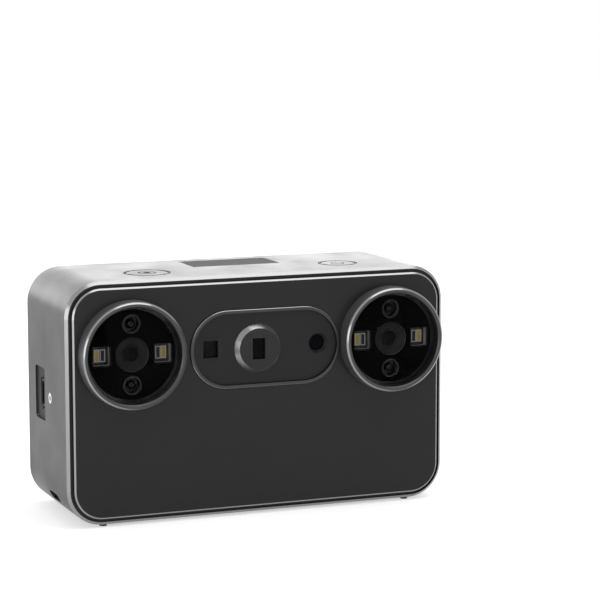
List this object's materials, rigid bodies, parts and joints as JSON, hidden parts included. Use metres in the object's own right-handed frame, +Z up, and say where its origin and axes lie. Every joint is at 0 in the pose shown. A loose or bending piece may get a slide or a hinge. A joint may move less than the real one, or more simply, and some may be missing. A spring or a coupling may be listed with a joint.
{
  "type": "hand-held three-d scanner",
  "caption": "Compact hand-held three-d scanner: rounded metal frame, ringed camera clusters, projector pill, rear display, top buttons, side slide switch and hinged battery door.",
  "frame": {"origin": "on the table, under the middle of the bounding box, level with the undersides of the feet", "axes": "+X to the right seen from the front (the camera side), +Y from the camera side to the display side, +Z up"},
  "size_m": [0.131, 0.0536, 0.0795],
  "materials": {
    "case_metal": "satin grey, bead blasted",
    "dark_panel": "matte dark grey",
    "ring_metal": "satin dark grey with a polished edge",
    "seal_rubber": "matte black",
    "smoked_glass": "polished, tinted",
    "clear_glass": "polished",
    "lens_glass": "coated, polished",
    "screen_glass": "polished, black printed edge",
    "mask_plastic": "matte black",
    "black_plastic": "fine grain, black",
    "pill_plastic": "gloss black",
    "grey_plastic": "satin grey, matched to the case",
    "display_plastic": "display face",
    "circuit_board": "green solder mask",
    "emitter_resin": "dark clear resin",
    "warm_led": "yellow phosphor",
    "cool_led": "white lens",
    "plain_aluminium": "milled",
    "steel": "plain",
    "brass": "turned",
    "inlay_gloss": "gloss dark grey",
    "battery_wrap": "dark sleeve"
  },
  "bodies": {
    "body": {"frame": "case_metal", "front_plate": "dark_panel", "gaskets": "seal_rubber", "camera_ring_left": "ring_metal", "camera_ring_right": "ring_metal", "camera_window_left": "smoked_glass", "camera_window_right": "smoked_glass", "camera_mask_left": "mask_plastic", "camera_mask_right": "mask_plastic", "light_board_left": "circuit_board", "light_board_right": "circuit_board", "lens_holder_left": "black_plastic", "lens_holder_right": "black_plastic", "lens_left": "lens_glass", "lens_right": "lens_glass", "camera_board_left": "circuit_board", "camera_board_right": "circuit_board", "ir_emitters": "emitter_resin", "warm_leds": "warm_led", "cool_leds": "cool_led", "pill_bezel": "ring_metal", "pill_panel": "pill_plastic", "projector_ring": "ring_metal", "projector_window": "smoked_glass", "projector_module": "black_plastic", "range_window": "smoked_glass", "range_sensor": "black_plastic", "colour_camera": "black_plastic", "colour_lens": "lens_glass", "optical_bench": "plain_aluminium", "bench_screws": "steel", "rear_bezel": "dark_panel", "screen_glass": "screen_glass", "lcd_panel": "display_plastic", "display_tray": "plain_aluminium", "tray_screws": "steel", "main_board": "circuit_board", "board_screws": "steel", "heat_spreader": "plain_aluminium", "button_board": "circuit_board", "button_screws": "steel", "tact_switches": "black_plastic", "top_inlay": "inlay_gloss", "usb_socket": "steel", "usb_lock_insert": "brass", "lanyard_bar": "steel", "feet": "seal_rubber", "tripod_insert": "brass", "switch_panel": "grey_plastic", "mode_switch_body": "black_plastic", "door_hinge_pin": "steel", "battery_sleeve": "black_plastic", "battery_pack": "battery_wrap", "battery_contacts": "brass"},
    "scan_button": {"scan_button": "grey_plastic"},
    "power_button": {"power_button": "grey_plastic"},
    "mode_switch_knob": {"mode_switch_knob": "grey_plastic"},
    "battery_door": {"battery_door": "grey_plastic"},
    "door_latch": {"door_latch": "grey_plastic"}
  },
  "joints": [
    {"name": "scan_press", "type": "slide", "parent": "body", "child": "scan_button", "axis": [0, 0, -1], "range_m": [0, 0.0004], "stiffness_N_per_m": 3000},
    {"name": "power_press", "type": "slide", "parent": "body", "child": "power_button", "axis": [0, 0, -1], "range_m": [0, 0.0004], "stiffness_N_per_m": 3000},
    {"name": "mode_slide", "type": "slide", "parent": "body", "child": "mode_switch_knob", "axis": [0, 0, -1], "range_m": [0, 0.0024]},
    {"name": "door_hinge", "type": "hinge", "parent": "body", "child": "battery_door", "pos_m": [0.06415, -0.00305, 0.01305], "axis": [0, 1, 0], "range_deg": [0, 95]},
    {"name": "latch_slide", "type": "slide", "parent": "battery_door", "child": "door_latch", "axis": [0, 0, 1], "range_m": [0, 0.0026]}
  ]
}
